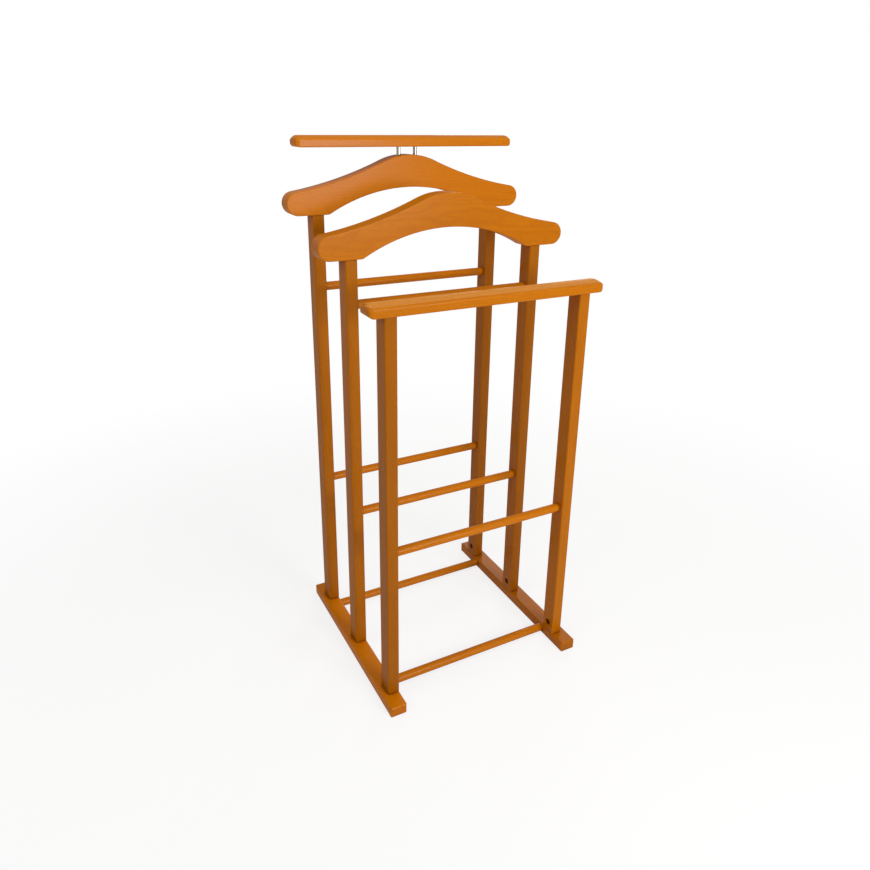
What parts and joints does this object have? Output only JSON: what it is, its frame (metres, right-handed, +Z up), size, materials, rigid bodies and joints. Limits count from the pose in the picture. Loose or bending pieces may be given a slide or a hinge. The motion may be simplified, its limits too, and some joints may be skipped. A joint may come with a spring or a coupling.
{
  "type": "clothes valet stand",
  "caption": "Free-standing wooden clothes valet: rising post frames on two floor runners, with jacket hangers, a top bar and a grooved trouser rail.",
  "frame": {"origin": "on the floor, at the middle of the two runners", "axes": "+Z up, +X to the stand's right seen from the front, front towards -Y"},
  "size_m": [0.48, 0.41, 0.978],
  "materials": {
    "stained_beech": "beech stained honey brown under satin-gloss varnish",
    "raw_beech": "bare beech dowel, glued in",
    "bright_steel": "bright nickel-plated steel rod",
    "black_steel": "black-oxided steel, lightly oiled"
  },
  "bodies": {
    "root": {"left_runner": "stained_beech", "right_runner": "stained_beech", "rear_left_post": "stained_beech", "rear_right_post": "stained_beech", "middle_left_post": "stained_beech", "middle_right_post": "stained_beech", "front_left_post": "stained_beech", "front_right_post": "stained_beech", "rear_hanger": "stained_beech", "middle_hanger": "stained_beech", "trouser_rail": "stained_beech", "top_bar": "stained_beech", "rear_upper_rung": "stained_beech", "middle_upper_rung": "stained_beech", "rear_lower_rung": "stained_beech", "middle_lower_rung": "stained_beech", "front_lower_rung": "stained_beech", "rear_base_stretcher": "stained_beech", "front_base_stretcher": "stained_beech", "top_bar_pins": "bright_steel", "base_bolts": "black_steel", "barrel_nuts": "black_steel", "base_locating_pins": "raw_beech", "rear_hanger_pins": "raw_beech", "middle_hanger_pins": "raw_beech", "trouser_rail_pins": "raw_beech"}
  },
  "joints": []
}
